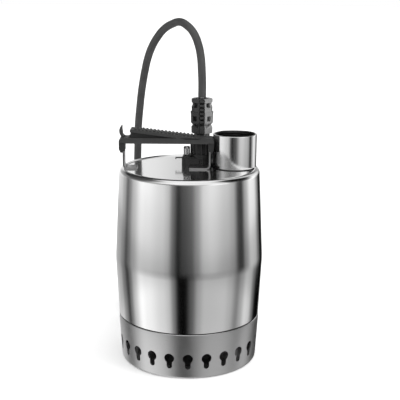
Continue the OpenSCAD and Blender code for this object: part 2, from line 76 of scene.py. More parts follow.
# Places that the CAD nodes give
PLATE_Z = low("outlet_socket").z
OUTLET_TOP = high("outlet_socket").z
OUTLET_X = (low("outlet_socket").x + high("outlet_socket").x) / 2
OUTLET_Y = (low("outlet_socket").y + high("outlet_socket").y) / 2
STRAINER_TOP = high("strainer").z
SLEEVE_BOTTOM = low("outer_sleeve").z
CREST_Z = high("outer_sleeve").z
BODY_R = high("outer_sleeve").x
GLAND_X = (low("gland_nut").x + high("gland_nut").x) / 2
GLAND_Y = (low("gland_nut").y + high("gland_nut").y) / 2
GLAND_BASE_TOP = low("gland_nut").z
NUT_TOP = high("gland_nut").z
RELIEF_TOP = high("strain_relief").z
COIL_X = (low("cable_coil").x + high("cable_coil").x) / 2
COIL_Y = (low("cable_coil").y + high("cable_coil").y) / 2
COIL_TOP = high("cable_coil").z
COIL_OUTER_R = high("cable_coil").x - COIL_X
HANDLE_LEFT = low("handle").x
HANDLE_RIGHT = high("handle").x
HANDLE_FRONT = low("handle").y
HANDLE_BACK = high("handle").y
LEG_BOTTOM = low("handle").z


# ---------------------------------------------------------------- camera

# The camera's numbers come from a least-squares fit to points picked in the photograph
CAMERA_PLACE = (10.66, -886.36, 378.33)
CAMERA_LENS = 81.3
LOOK_DOWN = 13.633
CAMERA_ROLL = 0.427


def make_camera():
    """The camera stands in front of the pump and looks down on it a little."""
    data = bpy.data.cameras.new("view_camera")
    data.sensor_width = 36
    data.lens = CAMERA_LENS
    data.clip_start, data.clip_end = 0.05, 60
    camera = bpy.data.objects.new("view_camera", data)
    bpy.context.scene.collection.objects.link(camera)
    tilt, roll = math.radians(90 - LOOK_DOWN), math.radians(CAMERA_ROLL)
    camera.matrix_world = (
        Matrix.Translation(pt(*CAMERA_PLACE))
        @ Matrix.Rotation(tilt, 4, "X") @ Matrix.Rotation(roll, 4, "Z"))
    bpy.context.scene.camera = camera


make_camera()


# ---------------------------------------------------------------- materials

class Nodes:
    """A short way to write a material's nodes."""

    def __init__(self, name):
        self.material = bpy.data.materials.new(name)
        self.material.use_nodes = True
        self.tree = self.material.node_tree
        self.shader = self.tree.nodes["Principled BSDF"]

    def add(self, kind, inputs=None, **settings):
        node = self.tree.nodes.new(kind)
        for key, value in settings.items():
            setattr(node, key, value)
        for key, value in (inputs or {}).items():
            if isinstance(value, bpy.types.NodeSocket):
                self.tree.links.new(value, node.inputs[key])
            else:
                node.inputs[key].default_value = value
        return node

    def set(self, **values):
        """Sets the shader's sockets; underscores in a name stand for spaces."""
        for key, value in values.items():
            socket = self.shader.inputs[key.replace("_", " ")]
            if isinstance(value, bpy.types.NodeSocket):
                self.tree.links.new(value, socket)
            else:
                socket.default_value = value

    def place(self, scale):
        """Object coordinates in millimetres, stretched by scale along each axis."""
        coords = self.add("ShaderNodeTexCoord").outputs["Object"]
        scaled = [s / MM for s in scale]
        return self.add("ShaderNodeMapping", {"Vector": coords, "Scale": scaled}).outputs["Vector"]

    def noise(self, vector, detail=3.0, roughness=0.55, distortion=0.0):
        node = self.add("ShaderNodeTexNoise", {
            "Vector": vector, "Scale": 1.0, "Detail": detail,
            "Roughness": roughness, "Distortion": distortion})
        return node.outputs["Fac"]

    def remap(self, value, from_low, from_high, to_low, to_high):
        node = self.add("ShaderNodeMapRange", {
            "Value": value, "From Min": from_low, "From Max": from_high,
            "To Min": to_low, "To Max": to_high})
        return node.outputs["Result"]

    def math(self, operation, a, b=0.0):
        node = self.add("ShaderNodeMath", {0: a, 1: b}, operation=operation)
        return node.outputs["Value"]

    def blend(self, factor, a, b):
        node = self.add("ShaderNodeMix", data_type="RGBA")
        for socket, value in (("Factor", factor), ("A", a), ("B", b)):
            found = [s for s in node.inputs if s.name == socket and s.enabled][0]
            if isinstance(value, bpy.types.NodeSocket):
                self.tree.links.new(value, found)
            else:
                found.default_value = value
        return [s for s in node.outputs if s.enabled][0]

    def bump(self, height, depth, strength=1.0):
        """Bump of a 0 to 1 height, depth millimetres from lowest to highest."""
        node = self.add("ShaderNodeBump", {
            "Height": height, "Distance": mm(depth), "Strength": strength})
        return node.outputs["Normal"]


def grey(value, warmth=0.0):
    """A near-neutral colour with its alpha; warmth leans it to red or, below 0, to blue."""
    return (value * (1 + warmth), value, value * (1 - warmth), 1.0)


def tint(colour, factor):
    return tuple(min(1.0, c * factor) for c in colour[:3]) + (1.0,)


def moulded(name, colour, rough, grain=0.35, depth=0.012, spread=0.12, edge=1.35):
    """Moulded plastic or rubber: fine grain, cloudy tone, and edges worn a little paler."""
    n = Nodes(name)
    fine = n.noise(n.place((1 / grain,) * 3), detail=2.0)
    cloud = n.noise(n.place((1 / 9,) * 3), detail=4.0, distortion=0.4)
    tone = n.blend(n.remap(cloud, 0.3, 0.7, 0, 1),
                   tint(colour, 1 - spread), tint(colour, 1 + spread))
    speck = n.blend(n.remap(fine, 0.35, 0.75, 0, 0.5), tone, tint(colour, 1 + 2 * spread))
    worn = n.remap(n.add("ShaderNodeNewGeometry").outputs["Pointiness"], 0.53, 0.62, 0, 0.6)
    n.set(Base_Color=n.blend(worn, speck, tint(colour, edge)))
    n.set(Roughness=n.remap(cloud, 0.25, 0.75, rough - 0.07, rough + 0.07))
    n.set(Normal=n.bump(fine, depth))
    return n


def metal(name, colour, rough, line=(0.4, 0.4, 0.4), depth=0.002, spread=0.04, smear=0.03):
    """Metal with polishing or machining lines; line is the lines' size along each axis."""
    n = Nodes(name)
    lines = n.noise(n.place(tuple(1 / s for s in line)), detail=3.0, roughness=0.6)
    cloud = n.noise(n.place((1 / 22, 1 / 22, 1 / 30)), detail=3.0, distortion=0.3)
    tone = n.blend(lines, tint(colour, 1 - spread), tint(colour, 1 + spread))
    n.set(Base_Color=tone, Metallic=1.0)
    streak = n.remap(lines, 0.25, 0.75, rough - smear, rough + smear)
    n.set(Roughness=n.math("ADD", streak, n.remap(cloud, 0.3, 0.7, -0.5 * smear, 0.5 * smear)))
    n.set(Normal=n.bump(lines, depth))
    return n


def polished_steel():
    """Drawn sleeve steel: bright, with very faint upright polishing streaks."""
    n = metal("polished_steel", grey(0.93), 0.13, line=(1.3, 1.3, 60), depth=0.0004,
              spread=0.012, smear=0.012)
    return n.material


def satin_steel():
    """Brushed strainer steel: its lines run round the pump, so they are long in X and Y."""
    n = metal("satin_steel", grey(0.68), 0.33, line=(14, 14, 0.22), depth=0.004,
              spread=0.07, smear=0.05)
    # Painted shade: where the surface faces the pump's axis, the basket's inside is darkened to near
    # black
    away = n.add("ShaderNodeVectorMath", {0: n.place((MM, MM, 0))}, operation="NORMALIZE")
    normal = n.add("ShaderNodeNewGeometry").outputs["Normal"]
    facing = n.add("ShaderNodeVectorMath", {0: away.outputs["Vector"], 1: normal},
                   operation="DOT_PRODUCT").outputs["Value"]
    outside = n.shader.inputs["Base Color"].links[0].from_socket
    n.set(Base_Color=n.blend(n.remap(facing, -0.9, -0.5, 0, 1), grey(0.04), outside))
    return n.material


def stacked_laminations():
    """Electrical steel sheets half a millimetre thick, stacked along Z."""
    n = Nodes("laminations")
    height = n.place((0, 0, 2.0))
    sheets = n.add("ShaderNodeTexWave", {"Vector": height, "Scale": 0.5, "Distortion": 0.0},
                   wave_type="BANDS", bands_direction="Z", wave_profile="SAW")
    oxide = n.noise(n.place((1 / 4, 1 / 4, 1 / 0.5)), detail=4.0)
    n.set(Base_Color=n.blend(oxide, grey(0.16, -0.05), grey(0.28, -0.04)), Metallic=0.85)
    n.set(Roughness=n.remap(oxide, 0.3, 0.7, 0.4, 0.6))
    n.set(Normal=n.bump(sheets.outputs["Fac"], 0.05))
    return n.material


def enamelled_copper():
    """Wound enamelled wire: fine strands round the stator."""
    n = Nodes("copper")
    strands = n.add("ShaderNodeTexWave", {
        "Vector": n.place((1.0, 1.0, 1.0)), "Scale": 0.5, "Distortion": 1.2, "Detail": 2.0},
        wave_type="RINGS", rings_direction="Z")
    band = strands.outputs["Fac"]
    n.set(Base_Color=n.blend(band, (0.36, 0.13, 0.05, 1), (0.74, 0.36, 0.16, 1)), Metallic=0.9)
    n.set(Roughness=n.remap(band, 0, 1, 0.45, 0.28), Coat_Weight=0.4, Coat_Roughness=0.2)
    n.set(Normal=n.bump(band, 0.12))
    return n.material


def cable_rubber():
    """Cable sheath: satin rubber with faint drawing lines along its length and rubbed dust."""
    n = Nodes("cable_rubber")
    fine = n.noise(n.place((1 / 0.5,) * 3), detail=3.0)
    dust = n.noise(n.place((1 / 14,) * 3), detail=5.0, distortion=0.6)
    base = n.blend(n.remap(dust, 0.35, 0.7, 0, 1), grey(0.036), grey(0.048))
    n.set(Base_Color=n.blend(n.remap(fine, 0.5, 0.8, 0, 0.5), base, grey(0.06)))
    n.set(Roughness=n.remap(dust, 0.3, 0.7, 0.42, 0.56), Specular_IOR_Level=0.45)
    n.set(Normal=n.bump(fine, 0.02))
    return n.material


def woven_tape():
    """Woven strap: crossing threads three quarters of a millimetre apart."""
    n = Nodes("tie_fabric")
    warp = n.add("ShaderNodeTexWave", {
        "Vector": n.place((1, 1, 0)), "Scale": 0.7, "Distortion": 0.3},
        wave_type="RINGS", rings_direction="Z").outputs["Fac"]
    weft = n.add("ShaderNodeTexWave", {
        "Vector": n.place((1, 1, 1)), "Scale": 0.7, "Distortion": 0.3},
        wave_type="BANDS", bands_direction="Z").outputs["Fac"]
    threads = n.math("MAXIMUM", warp, weft)
    fuzz = n.noise(n.place((1 / 0.3,) * 3), detail=2.0)
    n.set(Base_Color=n.blend(threads, grey(0.008), grey(0.035)))
    n.set(Roughness=n.remap(fuzz, 0.3, 0.7, 0.75, 0.95), Sheen_Weight=0.3, Sheen_Roughness=0.4)
    n.set(Normal=n.bump(threads, 0.25))
    return n.material


def nickel_pins():
    n = metal("pin_brass", (0.80, 0.75, 0.62, 1), 0.2, line=(1.2, 1.2, 0.15), depth=0.002)
    return n.material


def coated(name, colour, rough, coat):
    n = moulded(name, colour, rough)
    n.set(Coat_Weight=coat, Coat_Roughness=0.15)
    return n.material


MATERIALS = {
    "polished_steel": polished_steel(),
    "satin_steel": satin_steel(),
    "bracket_steel": metal("bracket_steel", grey(0.42), 0.3, (5, 0.3, 0.3), 0.003).material,
    "housing_plastic": moulded("housing_plastic", grey(0.02, -0.03), 0.45, depth=0.02).material,
    "rubber_seal": moulded("rubber_seal", grey(0.012), 0.6, grain=0.2).material,
    "fastener_steel": metal("fastener_steel", grey(0.62), 0.26, (0.3, 0.3, 0.3)).material,
    "cast_aluminium": metal(
        "cast_aluminium", grey(0.62, -0.01), 0.48, (0.7, 0.7, 0.7), 0.06, 0.1, 0.08).material,
    "ceramic": coated("ceramic", (0.78, 0.74, 0.64, 1), 0.25, 0.3),
    "motor_steel": metal("motor_steel", grey(0.56), 0.3, (9, 9, 0.3), 0.004).material,
    "laminations": stacked_laminations(),
    "copper": enamelled_copper(),
    "capacitor_plastic": coated("capacitor_plastic", grey(0.66, 0.01), 0.4, 0.1),
    "carbon": moulded("carbon", grey(0.02), 0.55, grain=0.15).material,
    "lead_insulation": moulded("lead_insulation", (0.12, 0.03, 0.012, 1), 0.5).material,
    "impeller_steel": metal("impeller_steel", grey(0.66), 0.28, (6, 6, 0.4), 0.004).material,
    "handle_plastic": moulded(
        "handle_plastic", grey(0.027), 0.5, grain=0.5, depth=0.03, spread=0.1).material,
    "gland_plastic": moulded("gland_plastic", grey(0.02), 0.42, grain=0.4, depth=0.02).material,
    "relief_plastic": moulded("relief_plastic", grey(0.024), 0.42, grain=0.4, depth=0.02).material,
    "cable_rubber": cable_rubber(),
    "tie_fabric": woven_tape(),
    "plug_rubber": moulded("plug_rubber", grey(0.018), 0.5, grain=0.45, depth=0.03).material,
    "pin_brass": nickel_pins(),
}

# Materials of painted shade and painted light for single faces or pieces, beside their slot's own
# Painted shade: near-black metal for the socket's bore and the crease at its foot
BORE_SHADE_MATERIAL = metal("threaded_bore_painted_shade", grey(0.05), 0.45, (1.2, 1.2, 0.3), 0.01).material
# Painted light: a much paler copy of the relief plastic for the half shell on the key light's side
RIGHT_SHELL_PAINTED_LIGHT_MATERIAL = moulded("relief_right_shell_painted_light", grey(0.18), 0.4, grain=0.4, depth=0.02).material
# Painted shade: near-black plastic for the handle's web and legs and the deep faces of the relief's
# windows
PAINTED_SHADE_MATERIAL = moulded("handle_web_painted_shade", grey(0.014), 0.6, grain=0.5, depth=0.03).material


# ---------------------------------------------------------------- mesh helpers

def arc(x, y, radius, start, end, steps):
    """Points of an arc in a plane, from one angle to the other in degrees."""
    angles = [math.radians(start + (end - start) * i / steps) for i in range(steps + 1)]
    return [(x + radius * math.cos(a), y + radius * math.sin(a)) for a in angles]


def lathe(bm, outline, centre=(0.0, 0.0), segments=96, turn=(0.0, 360.0)):
    """Turns a closed outline of (radius, height) round a vertical axis, wholly or in part."""
    whole = turn[1] - turn[0] >= 360
    stops = segments if whole else segments + 1
    angles = [math.radians(turn[0] + (turn[1] - turn[0]) * k / segments) for k in range(stops)]
    rings = []
    for radius, height in outline:
        if radius < 1e-6:
            pole = bm.verts.new(pt(centre[0], centre[1], height))
            rings.append([pole] * stops)
        else:
            rings.append([
                bm.verts.new(pt(centre[0] + radius * math.cos(a),
                                centre[1] + radius * math.sin(a), height))
                for a in angles])
    for ring, after in zip(rings, rings[1:] + rings[:1]):
        for k in range(segments):
            j = (k + 1) % stops
            corners = []
            for vertex in (ring[k], ring[j], after[j], after[k]):
                if vertex not in corners:
                    corners.append(vertex)
            if len(corners) > 2:
                bm.faces.new(corners)
    if not whole:
        bm.faces.new([ring[0] for ring in rings])
        bm.faces.new([ring[-1] for ring in reversed(rings)])


def prism(bm, outline, near, far, axis="Y"):
    """A solid with a flat outline, drawn from near to far along an axis.

    The outline is in (x, z) for Y, in (x, y) for Z and in (y, z) for X.
    """
    place = {
        "X": lambda a, b, depth: pt(depth, a, b),
        "Y": lambda a, b, depth: pt(a, depth, b),
        "Z": lambda a, b, depth: pt(a, b, depth),
    }[axis]
    first = [bm.verts.new(place(a, b, near)) for a, b in outline]
    last = [bm.verts.new(place(a, b, far)) for a, b in outline]
    bm.faces.new(first)
    bm.faces.new(last[::-1])
    for k in range(len(outline)):
        j = (k + 1) % len(outline)
        bm.faces.new((first[k], last[k], last[j], first[j]))


def rectangle(a0, b0, a1, b1):
    return [(a0, b0), (a1, b0), (a1, b1), (a0, b1)]


def rounded(a0, b0, a1, b1, r, steps=4):
    """A rectangle with round corners."""
    return (arc(a1 - r, b0 + r, r, -90, 0, steps) + arc(a1 - r, b1 - r, r, 0, 90, steps)
            + arc(a0 + r, b1 - r, r, 90, 180, steps) + arc(a0 + r, b0 + r, r, 180, 270, steps))


def link(name, mesh):
    obj = bpy.data.objects.new(name, mesh)
    bpy.context.scene.collection.objects.link(obj)
    return obj


def solid(name, bm, smooth=32):
    """Makes an object of the mesh, shaded smooth except at edges sharper than an angle."""
    bmesh.ops.recalc_face_normals(bm, faces=bm.faces)
    mesh = bpy.data.meshes.new(name)
    bm.to_mesh(mesh)
    bm.free()
    mesh.shade_smooth()
    mesh.set_sharp_from_angle(angle=math.radians(smooth))
    return link(name, mesh)


def cut(obj, cutter, smooth=32):
    """Cuts one solid out of another for good, and removes the cutter."""
    step = obj.modifiers.new("cut", "BOOLEAN")
    step.object, step.operation, step.solver = cutter, "DIFFERENCE", "EXACT"
    graph = bpy.context.evaluated_depsgraph_get()
    mesh = bpy.data.meshes.new_from_object(obj.evaluated_get(graph))
    obj.modifiers.clear()
    obj.data = mesh
    mesh.name = obj.name
    bpy.data.objects.remove(cutter)
    mesh.shade_smooth()
    mesh.set_sharp_from_angle(angle=math.radians(smooth))


def soften(obj, width, segments=2, angle=40):
    """Rounds the sharp edges with a small bevel."""
    step = obj.modifiers.new("edges", "BEVEL")
    step.width, step.segments = mm(width), segments
    step.limit_method, step.angle_limit = "ANGLE", math.radians(angle)
    step.harden_normals = True
    step.use_clamp_overlap = True


def round_normals(obj, centre=(0.0, 0.0)):
    """Gives the turned faces of a lathed shape the exact normals of a surface of revolution."""
    mesh = obj.data
    axis = Vector((mm(centre[0]), mm(centre[1]), 0))
    normals = [Vector(n.vector) for n in mesh.corner_normals]
    for face in mesh.polygons:
        for loop in face.loop_indices:
            out = mesh.vertices[mesh.loops[loop].vertex_index].co - axis
            out.z = 0
            if out.length < 1e-6:
                continue
            out.normalize()
            middle = face.center - axis
            middle.z = 0
            if middle.length < 1e-6:
                continue
            sideways = face.normal.cross(Vector((0, 0, 1))).dot(middle.normalized())
            if abs(sideways) < 0.12:
                rise = normals[loop].z
                side = math.sqrt(max(0.0, 1 - rise * rise))
                facing = 1 if face.normal.dot(middle) >= 0 else -1
                normals[loop] = out * side * facing + Vector((0, 0, rise))
    mesh.normals_split_custom_set([tuple(n.normalized()) for n in normals])


def finish_piece(obj, body, slot, nodes=()):
    """Gives a piece its slot's material and its body, and hides the CAD nodes that it stands for."""
    obj.data.materials.clear()
    obj.data.materials.append(MATERIALS[slot])
    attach(obj, body)
    if nodes:
        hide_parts(*nodes)
    return obj


# ---------------------------------------------------------------- supply cable

CABLE_D = 8
LAYER_RISE = 7.2

# The route from the strain relief over the arch and down to the coil. Its points over the arch
# are a curve of least bend fitted to the cable in the photograph, and rounded; the rest are listed.
LEAD_ROUTE = [
    (12, 17.3, 265), (12, 17.3, 279), (11.5, 16, 292), (10.5, 15.5, 305), (8, 17.5, 317),
    (3.5, 23, 327.5), (-3, 31, 334.5), (-11, 41, 338), (-19, 50.5, 335.5), (-27.5, 59, 330),
    (-35, 65.5, 321), (-41, 69.5, 310.5), (-45.5, 72.5, 298.5), (-48.5, 75, 286), (-51, 77, 273),
    (-53, 78.5, 260), (-54.5, 80, 247), (-56, 81.5, 233), (-57, 83, 217), (-57.5, 84, 200),
    (-58, 84, 182), (-58, 84, 163), (-58.5, 84, 143), (-59, 84, 123), (-59.5, 84, 103),
    (-60, 84, 84), (-60.5, 84, 66), (-61, 84, 50), (-61.5, 86, 34), (-62, 92.5, 20.5),
    (-62.5, 103, 10), (-63, 116, 5.3), (-63.5, 130, 4.2), (-64, 150, 4.1),
]

# The route from the top of the coil to the plug
TAIL_ROUTE = [
    (-2, 92, 25.6), (-17, 94, 26.5), (-32, 100, 29.5), (-46, 110.5, 33), (-56.5, 125.5, 34),
    (-63, 143, 34), (-64.5, 160, 34), (-62, 172.5, 34), (-55, 183.5, 33.8),
    (-44.5, 190.5, 33.7), (-32, 193, 34.4),
]


def coil_route():
    """The wound turns, a diameter apart: inwards on the floor, outwards on top, and so on.

    The winding starts at the coil's left side and runs clockwise, seen from above. Each
    turn keeps its radius and moves to the next one in its last two fifths.
    """
    inner, outer = 38, 62
    inward = [outer - CABLE_D * i for i in range(4)]
    outward = [inner + CABLE_D / 2 + CABLE_D * i for i in range(3)]
    turns = []
    for layer in range(4):
        height = CABLE_D / 2 + 0.1 + LAYER_RISE * layer
        turns += [(radius, height) for radius in (inward if layer % 2 == 0 else outward)]
    turns.append(turns[-1])
    per_turn, steady, wound = 18, 3 / 5, 13.75
    route = []
    for k in range(int(per_turn * wound) + 1):
        done = k / per_turn
        turn, part = int(done), done - int(done)
        ease = max(0.0, (part - steady) / (1 - steady))
        ease = ease * ease * (3 - 2 * ease)
        radius = turns[turn][0] + (turns[turn + 1][0] - turns[turn][0]) * ease
        height = turns[turn][1] + (turns[turn + 1][1] - turns[turn][1]) * ease
        angle = math.pi - 2 * math.pi * done
        route.append((COIL_X + radius * math.cos(angle), COIL_Y + radius * math.sin(angle), height))
    return route


def make_cable():
    route = LEAD_ROUTE[:-1] + coil_route() + TAIL_ROUTE[1:]
    curve = bpy.data.curves.new("power_cable", "CURVE")
    curve.dimensions = "3D"
    curve.bevel_depth = mm(CABLE_D / 2)
    curve.bevel_resolution = 6
    curve.resolution_u = 8
    curve.use_fill_caps = True
    spline = curve.splines.new("BEZIER")
    spline.bezier_points.add(len(route) - 1)
    for point, place in zip(spline.bezier_points, route):
        point.co = pt(*place)
        point.handle_left_type = point.handle_right_type = "AUTO"
    cable = link("power_cable", curve)
    return finish_piece(cable, "pump", "cable_rubber", ("supply_cable", "cable_coil", "cable_tail"))


power_cable = make_cable()


# ---------------------------------------------------------------- sleeve and outlet

NECK_R = 70.3
SHOULDER_R = 5.1
PLATE_R = 64
SHEET = 1.0


def sleeve_outline():
    """Outside of the sleeve from its skirt up and over the shoulder, then its inside."""
    crease_r, crease_z, foot_r = 90, 106, 71.7
    seam = STRAINER_TOP + 0.6
    skirt_r = 69.9
    shoulder_x, shoulder_z = NECK_R - SHOULDER_R, CREST_Z - SHOULDER_R
    wall = [(skirt_r, SLEEVE_BOTTOM), (skirt_r, seam - 0.8), (skirt_r + 0.2, seam - 0.2)]
    wall += [(foot_r - 0.5, seam + 0.3), (foot_r - 0.1, seam + 0.6), (foot_r, seam + 1.2)]
    wall += arc(BODY_R - crease_r, crease_z, crease_r, -2.7, 2.8, 12)
    wall += arc(shoulder_x, shoulder_z, SHOULDER_R, 3, 90, 20)
    # The lip slopes down to the plate
    wall += [(shoulder_x - 0.12, CREST_Z - 0.03), (PLATE_R + 0.05, PLATE_Z + 0.05),
             (PLATE_R, PLATE_Z)]
    inside = [(PLATE_R, PLATE_Z - SHEET), (NECK_R - SHEET - 1, PLATE_Z - 6)]
    inside += [(r - SHEET, z) for r, z in arc(BODY_R - crease_r, crease_z, crease_r, 2.8, -2.7, 4)]
    inside += [(foot_r - SHEET, seam + 1.2), (skirt_r - SHEET, seam - 0.8),
               (skirt_r - SHEET, SLEEVE_BOTTOM)]
    return wall + inside


def make_sleeve():
    bm = bmesh.new()
    lathe(bm, sleeve_outline(), segments=256)
    wall = solid("sleeve_wall", bm, smooth=30)
    round_normals(wall)
    finish_piece(wall, "pump", "polished_steel", ("outer_sleeve",))
    bm = bmesh.new()
    lathe(bm, [(0, PLATE_Z), (PLATE_R + 0.1, PLATE_Z), (PLATE_R + 0.1, PLATE_Z - SHEET),
               (0, PLATE_Z - SHEET)], segments=128)
    plate = solid("sleeve_top_plate", bm)
    for x, y, radius in ((OUTLET_X, OUTLET_Y, 18.5), (GLAND_X, GLAND_Y, 6)):
        bm = bmesh.new()
        lathe(bm, [(0, PLATE_Z + 3), (radius, PLATE_Z + 3), (radius, PLATE_Z - 4), (0, PLATE_Z - 4)],
              centre=(x, y), segments=72)
        cut(plate, solid("hole", bm))
    finish_piece(plate, "pump", "polished_steel")


def make_outlet():
    """The socket, with a parallel pipe thread cut in its bore."""
    outside_r, bore_r, pitch, depth = 21.9, 19.5, 2.309, 1.1
    thread_low, thread_high = OUTLET_TOP - 21, OUTLET_TOP - 1.4
    segments, rows_per_turn = 144, 10
    bm = bmesh.new()
    rows = []

    def ring(radius_at, height):
        rows.append([
            bm.verts.new(pt(
                OUTLET_X + radius_at(k / segments) * math.cos(2 * math.pi * k / segments),
                OUTLET_Y + radius_at(k / segments) * math.sin(2 * math.pi * k / segments), height))
            for k in range(segments)])

    def thread_radius(height):
        fade = min(1, (height - thread_low) / pitch, (thread_high - height) / (0.5 * pitch))

        def at(turn):
            phase = (height / pitch - turn) % 1
            ramp = abs(2 * phase - 1)
            crest = min(1, max(0, 1.3 * ramp - 0.15))
            return bore_r + depth * crest * max(0, fade)
        return at

    for radius, height in ((bore_r, PLATE_Z), (bore_r, thread_low)):
        ring(lambda turn, r=radius: r, height)
    count = int((thread_high - thread_low) / pitch * rows_per_turn)
    for i in range(1, count + 1):
        height = thread_low + (thread_high - thread_low) * i / count
        ring(thread_radius(height), height)
    edge = [(bore_r + 0.9, OUTLET_TOP - 0.25), (bore_r + 1.2, OUTLET_TOP)]
    edge += arc(outside_r - 0.45, OUTLET_TOP - 0.45, 0.45, 90, 0, 4)
    edge += [(outside_r, OUTLET_TOP - 1.2), (outside_r, PLATE_Z + 1.3), (outside_r, PLATE_Z + 0.9)]
    edge += [(outside_r + 0.3, PLATE_Z + 0.6), (outside_r + 0.7, PLATE_Z)]
    for radius, height in edge:
        ring(lambda turn, r=radius: r, height)
    for row, after in zip(rows, rows[1:] + rows[:1]):
        for k in range(segments):
            j = (k + 1) % segments
            bm.faces.new((row[k], row[j], after[j], after[k]))
    socket = solid("outlet_socket_threaded", bm, smooth=28)
    finish_piece(socket, "pump", "polished_steel", ("outlet_socket",))
    # Painted shade: faces inside the bore and on the flare at the socket's foot get the near-black
    # second material
    socket.data.materials.append(BORE_SHADE_MATERIAL)
    for face in socket.data.polygons:
        away = face.center - pt(OUTLET_X, OUTLET_Y, 0)
        out = math.hypot(away.x, away.y)
        inside = face.center.z < mm(OUTLET_TOP - 0.5) and out < mm(outside_r - 0.6)
        if inside or out > mm(outside_r + 0.05):
            face.material_index = 1


make_sleeve()
make_outlet()


# ---------------------------------------------------------------- strainer

def make_strainer():
    """The pressed basket, with a round inlet and a slot below it at every 15 degrees."""
    foot_r, belly_r, belly_z, rim_r, ring_r, lift = 69.4, 71, 28, 71.8, 54, 3
    wall, fillet = 1.2, 2.5
    inlets, hole_r, hole_z, slot_r, slot_z = 24, 5, 21, 2.75, 12.9
    top = STRAINER_TOP
    outside = [(0, lift), (ring_r - 6, lift), (ring_r - 4.6, lift - 0.5), (ring_r - 3, 0.6),
               (ring_r - 1.5, 0)]
    outside += arc(foot_r - fillet, fillet, fillet, -90, 0, 8)
    outside += [(belly_r, belly_z), (rim_r, top - 5), (rim_r, top - 0.35), (rim_r - 0.3, top)]
    inside = [(rim_r - wall + 0.2, top), (rim_r - wall, top - 0.3), (rim_r - wall, top - 5)]
    inside += [(belly_r - wall, belly_z)]
    inside += arc(foot_r - fillet, fillet, fillet - wall, 0, -90, 5)
    inside += [(ring_r - 1.5, wall), (ring_r - 5.5, lift + wall), (0, lift + wall)]
    bm = bmesh.new()
    lathe(bm, outside + inside, segments=240)
    basket = solid("inlet_strainer", bm, smooth=30)
    bm = bmesh.new()
    keyhole = arc(0, hole_z, hole_r, -56.6, 236.6, 20)
    keyhole += arc(0, slot_z, slot_r, 180, 360, 8)
    for i in range(inlets):
        before = len(bm.verts)
        prism(bm, keyhole, -78, -60, "Y")
        bm.verts.ensure_lookup_table()
        turn = Matrix.Rotation(2 * math.pi * i / inlets, 4, "Z")
        bmesh.ops.transform(bm, matrix=turn, verts=bm.verts[before:])
    cut(basket, solid("keyholes", bm), smooth=30)
    round_normals(basket)
    finish_piece(basket, "strainer", "satin_steel", ("strainer",))


make_strainer()


# ---------------------------------------------------------------- handle and brackets

def make_handle():
    bar_z, bar_top, wedge_top = 222.2, 227.8, 236.3
    wedge_left, wedge_right, flange = -58.8, 10, 2.6
    left, right, front, back = HANDLE_LEFT, HANDLE_RIGHT, HANDLE_FRONT, HANDLE_BACK
    leg_back = 4.8
    bm = bmesh.new()
    # The bar, with a round end over each leg
    bar = [(left, bar_z), (right, bar_z)] + arc(right - 2.5, bar_top - 2.5, 2.5, 0, 90, 5)
    bar += arc(left + 3.5, bar_top - 3.5, 3.5, 90, 180, 6)
    prism(bm, bar, front, back)
    # The wedge: a sloping flange over a web that is set back
    slope = (wedge_top - bar_top - 0.4) / (wedge_right - wedge_left)
    prism(bm, [(wedge_right, bar_top - 1), (wedge_right, bar_top + 0.4), (wedge_left + 1, wedge_top),
               (wedge_left, wedge_top - 1), (wedge_left, wedge_top - flange),
               (wedge_right - 14, bar_top - 1)], front, back)
    # The hook for a float switch's cable, and its notch beside the wedge
    notch = [m for m in frame["record"]["mounts"] if m["name"] == "float_cable_notch"][0]
    notch_x, notch_z = notch["pos_m"][0] / MM, notch["pos_m"][2] / MM
    notch_r = notch["dims"]["r_mm"]
    hook = [(left + 2.4, 239.2), (left + 0.9, 237), (left + 0.1, 234.5), (left + 0.3, 231.8),
            (left + 1.4, 229.3), (left + 2.5, bar_top - 0.8), (wedge_left + 0.6, bar_top - 0.8),
            (wedge_left + 0.6, notch_z)]
    hook += arc(notch_x, notch_z, notch_r, 0, -150, 12)
    hook += [(left + 3.2, 232.4), (left + 2.7, 235), (left + 2.8, 237.3)]
    prism(bm, hook, -4, back - 1)
    body = solid("lifting_handle", bm, smooth=28)
    soften(body, 0.45, segments=3)
    finish_piece(body, "pump", "handle_plastic", ("handle",))
    # The legs, cut to a point at the outer side
    bm = bmesh.new()
    prism(bm, [(left, bar_z + 1), (left, LEG_BOTTOM + 3.5), (left + 1.6, LEG_BOTTOM),
               (left + 4.4, LEG_BOTTOM), (left + 5.8, LEG_BOTTOM + 2), (left + 5.8, bar_z + 1)],
          front, leg_back)
    prism(bm, [(right, bar_z + 1), (right, LEG_BOTTOM + 3.5), (right - 1.6, LEG_BOTTOM),
               (right - 4.2, LEG_BOTTOM), (right - 5.8, LEG_BOTTOM + 1), (right - 5.8, bar_z + 1)],
          front, leg_back)
    legs = solid("handle_legs", bm, smooth=28)
    soften(legs, 0.45, segments=3)
    finish_piece(legs, "pump", "handle_plastic")
    # Painted shade: the legs get the near-black shade plastic instead of the handle's own
    legs.data.materials[0] = PAINTED_SHADE_MATERIAL
    # The web set back behind the wedge's flange, coloured near black as painted shade
    bm = bmesh.new()
    prism(bm, [(wedge_left + 0.4, bar_top - 0.5), (wedge_right - 10, bar_top - 0.5),
               (wedge_left + 0.4, wedge_top - 2)], front + 3, back - 1)
    web = solid("handle_web_painted_shade", bm)
    soften(web, 0.2)
    finish_piece(web, "pump", "handle_plastic")
    web.data.materials[0] = PAINTED_SHADE_MATERIAL
    # Grip ridges across the wedge's slope
    ridges, pitch, thick, rise = 17, 3.7, 2.7, 0.9
    bm = bmesh.new()
    for i in range(ridges):
        x = wedge_left + 4 + i * pitch
        z = wedge_top - (x - wedge_left - 1) * slope
        drop = thick * slope
        prism(bm, [(x, z - 0.8), (x + thick, z - 0.8 - drop), (x + thick - 0.3, z + rise - drop),
                   (x + 0.4, z + rise)], front + 3.4, back - 0.4)
    grip = solid("handle_grip_ridges", bm)
    soften(grip, 0.25)
    finish_piece(grip, "pump", "handle_plastic")


